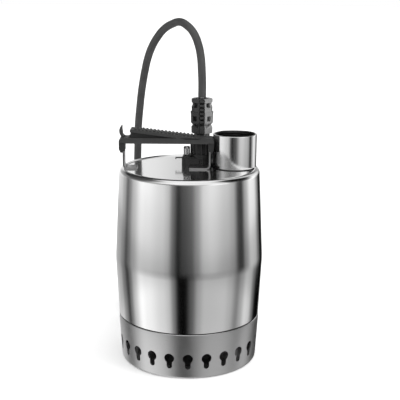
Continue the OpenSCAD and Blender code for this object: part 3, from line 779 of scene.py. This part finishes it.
def make_bracket(name, node, upright_x, direction, foot, dimple):
    """A strip bent into a foot and an upright, with a spot weld's dimple in the foot."""
    thick, bend, front, back = 1.6, 4.6, -11, 4.6
    top = LEG_BOTTOM + 1.4
    outline = [(foot, PLATE_Z), (foot, PLATE_Z + thick)]
    outline += arc(bend, PLATE_Z + bend, bend - thick, 270, 180, 8)
    outline += [(thick, top), (0, top)]
    outline += arc(bend, PLATE_Z + bend, bend, 180, 270, 10)
    bm = bmesh.new()
    prism(bm, [(upright_x + direction * x, z) for x, z in outline], front, back)
    strip = solid(name, bm)
    bm = bmesh.new()
    ball = 3.2
    points = arc(0, PLATE_Z + thick + 2.6, ball, -90, 90, 16)
    lathe(bm, [(max(0, r), z) for r, z in points], centre=dimple, segments=32)
    cut(strip, solid("ball", bm))
    soften(strip, 0.3)
    finish_piece(strip, "pump", "bracket_steel", (node,))


make_handle()
make_bracket("bracket_left", "handle_bracket_left", -66, 1, 14, (-57, -2.5))
make_bracket("bracket_right", "handle_bracket_right", 20.7, -1, 21, (6, -2.5))


# ---------------------------------------------------------------- cable gland

def make_gland():
    z0, z1 = PLATE_Z, GLAND_BASE_TOP
    x, y = GLAND_X, GLAND_Y
    bm = bmesh.new()
    # Round body with a waist groove under its flange
    lathe(bm, [(0, z0), (12.1, z0), (12.1, z0 + 2.4), (11.3, z0 + 3), (11.3, z1 - 3.2),
               (12.1, z1 - 2.6), (12.1, z1), (0, z1)], centre=(x, y), segments=72)
    # Block, ear and front boss, in steps
    prism(bm, rounded(-5, 6.2, 11, 26.2, 1.6), z0, z1 - 1.2, "Z")
    prism(bm, rounded(-8, 8, -2, 22, 1.4), z0, z0 + 7.5, "Z")
    prism(bm, rounded(0, 5.2, 10, 9, 0.8), z0 + 1.6, z0 + 7.6, "Z")
    prism(bm, rounded(-3.6, 6.4, 4, 9, 0.6), z0 + 2, z1 - 0.4, "Z")
    lathe(bm, [(0, z0), (4, z0), (4, z1 + 1), (2.6, z1 + 1), (2.6, z1), (0, z1)],
          centre=(-3, 11), segments=32)
    # Two posts beside the screw
    for left_x, right_x in ((-6.2, -4.9), (-1.3, 0.2)):
        prism(bm, rounded(left_x, 8, right_x, 13.5, 0.4), z1 - 2, high("gland_screw").z - 0.6, "Z")
    # Ribs round the foot
    for angle in range(20, 340, 32):
        a = math.radians(angle)
        cx, cy = x + 12 * math.cos(a), y + 12 * math.sin(a)
        if cx > -2:
            lathe(bm, [(0, z0 + 0.4), (0.75, z0 + 0.4), (0.75, z1 - 0.6), (0, z1 - 0.6)],
                  centre=(cx, cy), segments=12)
    housing = solid("gland_housing", bm)
    soften(housing, 0.3)
    finish_piece(housing, "pump", "gland_plastic", ("gland_base",))


def make_union_nut():
    """The union nut: a round collar with grip ribs and a flange at its foot."""
    ribs, z0, z1 = 14, GLAND_BASE_TOP, NUT_TOP
    bm = bmesh.new()
    lathe(bm, [(7.1, z0), (11.9, z0), (11.9, z0 + 1.8), (10.7, z0 + 3), (10.5, z0 + 3.3),
               (10.5, z1 - 2), (9.5, z1), (7.1, z1)], centre=(GLAND_X, GLAND_Y), segments=84)
    for i in range(ribs):
        a = 2 * math.pi * (i + 0.5) / ribs
        rib = arc(0, 0, 1.15, 0, 360, 12)[:-1]
        cx, cy = GLAND_X + 10.6 * math.cos(a), GLAND_Y + 10.6 * math.sin(a)
        prism(bm, [(cx + u, cy + v) for u, v in rib], z0 + 1.2, z1 - 1.9, "Z")
    nut = solid("gland_union_nut", bm)
    soften(nut, 0.22)
    finish_piece(nut, "pump", "gland_plastic", ("gland_nut",))


def make_gland_screw():
    """A slotted screw with its washer, standing in the gland's boss."""
    x, y = -3, 11
    z0 = low("gland_screw").z
    z1 = high("gland_screw").z
    bm = bmesh.new()
    lathe(bm, [(0, z0), (1.5, z0), (1.5, z1 - 2.6), (2.3, z1 - 2.4), (2.3, z1 - 0.5),
               (1.8, z1), (0, z1)], centre=(x, y), segments=32)
    screw = solid("gland_fixing_screw", bm)
    bm = bmesh.new()
    prism(bm, rectangle(x - 3, y - 0.4, x + 3, y + 0.4), z1 - 0.9, z1 + 1, "Z")
    cut(screw, solid("slot", bm))
    soften(screw, 0.12)
    finish_piece(screw, "pump", "fastener_steel", ("gland_screw",))


def make_gland_tab():
    """The thin lug that sticks out of the gland to the left, with a hooked end."""
    lo, hi = low("gland_tab"), high("gland_tab")
    bm = bmesh.new()
    prism(bm, [(hi.x, hi.z - 0.9), (hi.x, hi.z), (lo.x + 0.5, hi.z), (lo.x, hi.z - 0.4),
               (lo.x, lo.z), (lo.x + 0.9, lo.z), (lo.x + 0.9, hi.z - 0.9)], lo.y, hi.y)
    tab = solid("gland_lug", bm)
    soften(tab, 0.15)
    finish_piece(tab, "pump", "gland_plastic", ("gland_tab",))


def relief_outline(inner):
    """One half shell of the strain relief in section, from its foot up."""
    r = 11
    outer = [(8, NUT_TOP), (8, 229.4), (r - 0.4, 229.6), (r - 0.3, 235.4), (r - 1.7, 237.6),
             (r + 0.1, 240), (r + 0.2, 247.6), (r + 0.6, 251), (r - 0.6, 251.4), (r - 0.5, 256.6),
             (r - 1.4, 257), (r - 1.4, 259.8), (r - 0.5, 260.2), (r - 0.3, RELIEF_TOP - 1.4),
             (r - 1.2, RELIEF_TOP - 0.9)]
    return [(inner, NUT_TOP)] + outer + [(inner, RELIEF_TOP - 0.9)]


def make_strain_relief():
    """Two half shells round a ladder of ribs, built straight."""
    x, y, gap = GLAND_X, GLAND_Y, 16
    windows = ((242, 247), (255.4, 260.2))
    for side, name in ((0, "right"), (180, "left")):
        bm = bmesh.new()
        lathe(bm, relief_outline(6.6), centre=(x, y), segments=36,
              turn=(side - 90 + gap, side + 90 - gap))
        shell = solid("strain_relief_shell_" + name, bm)
        bm = bmesh.new()
        for facing in (-90, 90):
            lean = 40 if (side == 0) == (facing == -90) else -40
            for low_z, high_z in windows:
                turned_box(bm, facing + lean, 7.2, 14, 2.3, low_z, high_z)
            turned_box(bm, facing + lean * 0.85, 7.4, 14, 2.8, 236, 238.4, lean=lean * 0.6)
            turned_box(bm, facing + lean * 1.7, 9.8, 14, 0.9, 239, 256)
        cut(shell, solid("windows", bm))
        finish_piece(shell, "pump", "relief_plastic", ("strain_relief",))
        # Painted light: the right half shell gets the paler copy of its plastic, so that side looks
        # lit
        if name == "right":
            shell.data.materials[0] = RIGHT_SHELL_PAINTED_LIGHT_MATERIAL
        # Painted shade: faces deep inside the windows get the near-black shade plastic
        shell.data.materials.append(PAINTED_SHADE_MATERIAL)
        for face in shell.data.polygons:
            away = face.center - pt(x, y, 0)
            shaded_window_face = mm(6.9) < math.hypot(away.x, away.y) < mm(9.2)
            if shaded_window_face and any(mm(low_z) < face.center.z < mm(high_z) for low_z, high_z in windows):
                face.material_index = 1
        soften(shell, 0.28)
    bm = bmesh.new()
    lathe(bm, [(4.1, NUT_TOP), (7, NUT_TOP), (5.6, 238), (5.6, RELIEF_TOP - 1.6),
               (5.2, RELIEF_TOP - 1.2), (4.1, RELIEF_TOP - 1.2)], centre=(x, y), segments=48)
    core = solid("strain_relief_sleeve", bm)
    finish_piece(core, "pump", "gland_plastic")
    bm = bmesh.new()
    rungs, rung_pitch, rung_z = 6, 4.1, 240
    for facing in (-90, 90):
        for i in range(rungs):
            z = rung_z + i * rung_pitch
            turned_box(bm, facing, 4.6, 9.4, 2.3, z, z + 2.2)
            for side in (-1, 1):
                turned_box(bm, facing + side * 15, 4.6, 9, 0.55, z - 0.9, z + 3)
        turned_box(bm, facing, 4.6, 8.9, 2.4, NUT_TOP + 0.5, 228)
        turned_box(bm, facing, 4.6, 9.8, 2.4, 229.6, 236.8)
    ladder = solid("strain_relief_ladder", bm)
    soften(ladder, 0.25)
    finish_piece(ladder, "pump", "relief_plastic")


def turned_box(bm, angle, near, far, half, z0, z1, lean=0.0):
    """A block that points out of the gland's axis at an angle, from near to far along it."""
    before = len(bm.verts)
    prism(bm, rectangle(near, -half, far, half), z0, z1, "Z")
    bm.verts.ensure_lookup_table()
    middle = (z0 + z1) / 2
    place = (Matrix.Translation(pt(GLAND_X, GLAND_Y, middle))
             @ Matrix.Rotation(math.radians(angle), 4, "Z")
             @ Matrix.Rotation(math.radians(lean), 4, "X")
             @ Matrix.Translation(pt(0, 0, -middle)))
    bmesh.ops.transform(bm, matrix=place, verts=bm.verts[before:])


make_gland()
make_union_nut()
make_gland_screw()
make_gland_tab()
make_strain_relief()


# ---------------------------------------------------------------- ties and plug

def make_ties():
    """Two woven straps round the coil, each a band 15 degrees wide."""
    bm = bmesh.new()
    inner = 34
    for start in (20, 235):
        outline = rounded(inner - 1.2, 0, COIL_OUTER_R + 1.2, COIL_TOP + 1.2, 4.6, 6)
        hole = rounded(inner, 1.2, COIL_OUTER_R, COIL_TOP, 3.6, 6)
        rings = []
        for k in range(9):
            a = math.radians(start + 15 * k / 8)
            for points in (outline, hole):
                rings.append([
                    bm.verts.new(pt(COIL_X + r * math.cos(a), COIL_Y + r * math.sin(a), z))
                    for r, z in points])
        for k in range(8):
            for shell in (0, 1):
                near, far = rings[2 * k + shell], rings[2 * k + 2 + shell]
                for i in range(len(near)):
                    j = (i + 1) % len(near)
                    bm.faces.new((near[i], near[j], far[j], far[i]))
        for near, far in ((rings[0], rings[1]), (rings[-2], rings[-1])):
            for i in range(len(near)):
                j = (i + 1) % len(near)
                bm.faces.new((near[i], near[j], far[j], far[i]))
    ties = solid("coil_straps", bm, smooth=40)
    soften(ties, 0.25)
    finish_piece(ties, "pump", "tie_fabric", ("coil_ties",))
    return ties


PLUG_REAR = pt(*TAIL_ROUTE[-1])
PLUG_PLACE = (Matrix.Translation(PLUG_REAR) @ Matrix.Rotation(math.radians(-14.6), 4, "Y")
              @ Matrix.Rotation(math.radians(90), 4, "Y"))


def place_plug(obj):
    obj.data.transform(PLUG_PLACE)


def make_plug():
    """A moulded two-pin plug with side contacts: ribbed neck, grip and round face."""
    outline = [(0, 0), (4.6, 0), (5, 0.5)]
    for i in range(5):
        z = 1.2 + i * 4
        outline += [(5.2 + 0.3 * i, z), (5.2 + 0.3 * i, z + 2.2), (4.4 + 0.35 * i, z + 2.8),
                    (4.5 + 0.35 * i, z + 3.6)]
    outline += [(7, 21.6), (8.4, 22), (9.5, 23), (12, 29), (14.6, 37), (16.6, 46), (17, 52)]
    outline += arc(17.7, 52.8, 0.8, -90, 0, 4) + arc(17.4, 59.9, 1.1, 0, 90, 5) + [(0, 61)]
    bm = bmesh.new()
    lathe(bm, outline, segments=72)
    plug = solid("mains_plug_moulding", bm)
    bm = bmesh.new()
    for side in (-1, 1):
        prism(bm, rounded(side * 17.3 - 2.4, -3, side * 17.3 + 2.4, 3, 0.6), 40, 70, "Z")
        for i in range(5):
            z = 27 + i * 3.4
            r = 10 + (z - 23) * 0.36
            prism(bm, rectangle(-5, side * (r + 0.1), 5, side * (r + 3)), z, z + 1.3, "Z")
    cut(plug, solid("recesses", bm))
    soften(plug, 0.3)
    place_plug(plug)
    finish_piece(plug, "pump", "plug_rubber", ("mains_plug",))
    bm = bmesh.new()
    for side in (-1, 1):
        lathe(bm, [(0, 58), (2.4, 58), (2.4, 78.3), (2.1, 79), (1.4, 79.8), (0, 80)],
              centre=(0, side * 9.5), segments=32)
        prism(bm, rectangle(side * 16.3 - 0.6, -2.5, side * 16.3 + 0.6, 2.5), 46, 61.5, "Z")
    pins = solid("mains_plug_contacts", bm)
    soften(pins, 0.15)
    place_plug(pins)
    finish_piece(pins, "pump", "pin_brass", ("plug_pins",))
    return plug, pins


coil_straps = make_ties()
plug_body, plug_contacts = make_plug()


# ---------------------------------------------------------------- parts that stay as CAD

def finish_cad_nodes():
    """The inner parts keep their CAD shape and get their slot's material."""
    for part in frame["record"]["subparts"]:
        obj = NODES[part["node"]]
        if obj.hide_render:
            continue
        obj.data.materials.clear()
        obj.data.materials.append(MATERIALS[part["material_slot"]])


finish_cad_nodes()


# ---------------------------------------------------------------- studio

# What gloss mirrors, by rings, as (azimuth, brightness): 0 is towards the camera's side and 90 is
# to its right. The low ring lies 25 degrees below the horizon, the level ring 10 degrees below it,
# the middle ring 14 above, and the high ring 40. These values are not a studio designed by hand:
# scratch scripts worked them out from the photograph's tones on the sleeve, plate and socket, and
# they were then rounded and tuned. This is an open failure.
LOW_RING = [
    (-180, 0.85), (-160, 0.8), (-140, 0.6), (-126, 0.25), (-114, 0.04), (-106, 0.2),
    (-97, 0.55), (-82, 1.02), (-70, 0.9), (-42, 0.66), (-33, 0.54), (-24, 0.18), (-17, 0.0),
    (-5, 0.0), (6, 0.1), (16, 0.34), (26, 0.47), (60, 0.5), (70, 0.42), (85, 0.2),
    (94, 0.36), (106, 0.64), (116, 0.56), (128, 0.16), (137, 0.0), (160, 0.0), (166, 0.5),
    (180, 0.85),
]
LEVEL_RING = [
    (-180, 0.85), (-160, 0.85), (-140, 0.68), (-126, 0.42), (-115, 0.12), (-108, 0.24),
    (-98, 0.52), (-80, 0.9), (-70, 0.84), (-42, 0.64), (-33, 0.5), (-25, 0.14), (-17, 0.01),
    (-8, 0.06), (4, 0.1), (13, 0.28), (24, 0.6), (34, 0.66), (62, 0.5), (73, 0.4), (84, 0.05),
    (91, 0.03), (101, 0.4), (114, 0.9), (126, 0.86), (139, 0.3), (147, 0.0), (158, 0.0),
    (165, 0.6), (180, 0.85),
]
MIDDLE_RING = [
    (-180, 0.56), (-176, 0.88), (-168, 0.8), (-150, 0.35), (-125, 0.22), (-110, 0.13),
    (-88, 0.18), (-66, 0.4), (-45, 0.24), (-28, 0.16), (0, 0.25), (20, 0.5), (43, 1.02),
    (60, 0.95), (74, 0.28), (88, 0.03), (108, 0.08), (118, 0.6), (124, 1.0), (136, 0.9),
    (152, 0.7), (160, 0.35), (174, 0.38), (180, 0.56),
]
HIGH_RING = [
    (-180, 0.0), (-150, 0.02), (-110, 0.06), (-88, 0.08), (-75, 0.2), (-64, 0.5), (-50, 0.85),
    (-25, 0.98), (0, 0.88), (50, 0.85), (62, 0.6), (72, 0.1), (80, 0.0), (96, 0.0), (118, 0.02),
    (130, 0.5), (140, 0.75), (150, 0.4), (158, 0.05), (172, 0.0), (180, 0.0),
]
# Brightness against height above the horizon, as (degrees, factor), found in the same way
HEIGHTS = [
    (-90, 1.2), (-40, 1.2), (-30, 1.05), (-25.5, 1.12), (-22, 0.75), (-17, 0.6), (-13, 0.55),
    (-11.2, 0.95), (-8.5, 1.0), (-6, 1.25), (3, 1.2), (12, 1.0), (90, 1.0),
]
# Heights between which one ring fades into the next, in degrees above the horizon
LOW_TO_LEVEL = (-22, -13)
LEVEL_TO_MIDDLE = (-7, 12)
MIDDLE_TO_HIGH = (14, 27)
HIGH_TO_ZENITH = (54, 72)
ZENITH = 0.9
DAYLIGHT = 1.5


def ramp(nodes, links, factor, stops, low_end, high_end):
    node = nodes.new("ShaderNodeValToRGB")
    node.color_ramp.interpolation = "EASE"
    elements = node.color_ramp.elements
    for i, (place, value) in enumerate(stops):
        position = (place - low_end) / (high_end - low_end)
        element = elements[i] if i < 2 else elements.new(position)
        element.position = position
        element.color = (value, value, value, 1)
    links.new(factor, node.inputs["Fac"])
    return node.outputs["Color"]


def make_world():
    """Even light for matt surfaces, and the rings of brightness for what gloss mirrors."""
    world = bpy.data.worlds.new("studio")
    bpy.context.scene.world = world
    world.use_nodes = True
    nodes, links = world.node_tree.nodes, world.node_tree.links

    def math_node(operation, a, b=0.0):
        node = nodes.new("ShaderNodeMath")
        node.operation = operation
        for socket, value in zip(node.inputs, (a, b)):
            if isinstance(value, bpy.types.NodeSocket):
                links.new(value, socket)
            else:
                socket.default_value = value
        return node.outputs["Value"]

    def fade(value, heights):
        node = nodes.new("ShaderNodeMapRange")
        node.interpolation_type = "SMOOTHSTEP"
        links.new(value, node.inputs["Value"])
        node.inputs["From Min"].default_value = heights[0]
        node.inputs["From Max"].default_value = heights[1]
        return node.outputs["Result"]

    def mix(factor, a, b, blend_type="MIX"):
        node = nodes.new("ShaderNodeMix")
        node.data_type, node.blend_type = "RGBA", blend_type
        for name, value in (("Factor", factor), ("A", a), ("B", b)):
            socket = [s for s in node.inputs if s.name == name and s.enabled][0]
            if isinstance(value, bpy.types.NodeSocket):
                links.new(value, socket)
            else:
                socket.default_value = value
        return [s for s in node.outputs if s.enabled][0]

    direction = nodes.new("ShaderNodeTexCoord").outputs["Generated"]
    split = nodes.new("ShaderNodeSeparateXYZ")
    links.new(direction, split.inputs["Vector"])
    x, y, z = (split.outputs[axis] for axis in "XYZ")
    turn = math_node("ARCTAN2", x, math_node("MULTIPLY", y, -1.0))
    around = math_node("ADD", math_node("DIVIDE", turn, 2 * math.pi), 0.5)
    height = math_node("DEGREES", math_node("ARCSINE", z))
    height_place = math_node("DIVIDE", math_node("ADD", height, 90.0), 180.0)
    rings = [ramp(nodes, links, around, ring, -180, 180)
             for ring in (LOW_RING, LEVEL_RING, MIDDLE_RING, HIGH_RING)]
    walls = mix(fade(height, LOW_TO_LEVEL), rings[0], rings[1])
    walls = mix(fade(height, LEVEL_TO_MIDDLE), walls, rings[2])
    walls = mix(fade(height, MIDDLE_TO_HIGH), walls, rings[3])
    walls = mix(fade(height, HIGH_TO_ZENITH), walls, grey(ZENITH))
    rise = ramp(nodes, links, height_place, HEIGHTS, -90, 90)
    walls = mix(1.0, walls, rise, "MULTIPLY")
    mirrored = nodes.new("ShaderNodeLightPath").outputs["Is Glossy Ray"]
    studio = mix(mirrored, grey(DAYLIGHT), walls)
    links.new(studio, nodes["Background"].inputs["Color"])
    nodes["Background"].inputs["Strength"].default_value = 1.0


def make_floor():
    """A wide pale floor and a pale dome, which the pump's gloss doesn't mirror."""
    n = Nodes("studio_floor")
    mottle = n.noise(n.place((1 / 400,) * 3), detail=2.0)
    n.set(Base_Color=n.blend(mottle, grey(0.86), grey(0.88)))
    n.set(Roughness=0.9, Specular_IOR_Level=0.1)
    bm = bmesh.new()
    bmesh.ops.create_circle(bm, cap_ends=True, radius=14, segments=96)
    floor = solid("studio_floor", bm)
    floor.location.z = mm(-0.15)
    floor.data.materials.append(n.material)
    floor.visible_glossy = False
    dome_material = bpy.data.materials.new("studio_dome")
    dome_material.use_nodes = True
    tree = dome_material.node_tree
    light = tree.nodes.new("ShaderNodeEmission")
    light.inputs["Color"].default_value = grey(1.0)
    light.inputs["Strength"].default_value = 1.0
    tree.links.new(light.outputs["Emission"], tree.nodes["Material Output"].inputs["Surface"])
    bm = bmesh.new()
    bmesh.ops.create_uvsphere(bm, u_segments=48, v_segments=24, radius=13.5)
    dome = solid("studio_dome", bm)
    dome.data.materials.append(dome_material)
    for name in ("visible_glossy", "visible_diffuse", "visible_shadow", "visible_transmission"):
        setattr(dome, name, False)


def make_lights():
    """A soft key light from the right."""
    data = bpy.data.lights.new("key_light", "AREA")
    data.energy, data.size = 9, 0.8
    lamp = bpy.data.objects.new("key_light", data)
    bpy.context.scene.collection.objects.link(lamp)
    lamp.location = (1.1, -0.45, 0.95)
    aim = Vector((0, 0, 0.2)) - lamp.location
    lamp.rotation_mode = "QUATERNION"
    lamp.rotation_quaternion = aim.to_track_quat("-Z", "Y")
    lamp.visible_glossy = False


make_world()
make_floor()
make_lights()
bpy.context.scene.view_settings.view_transform = "Standard"
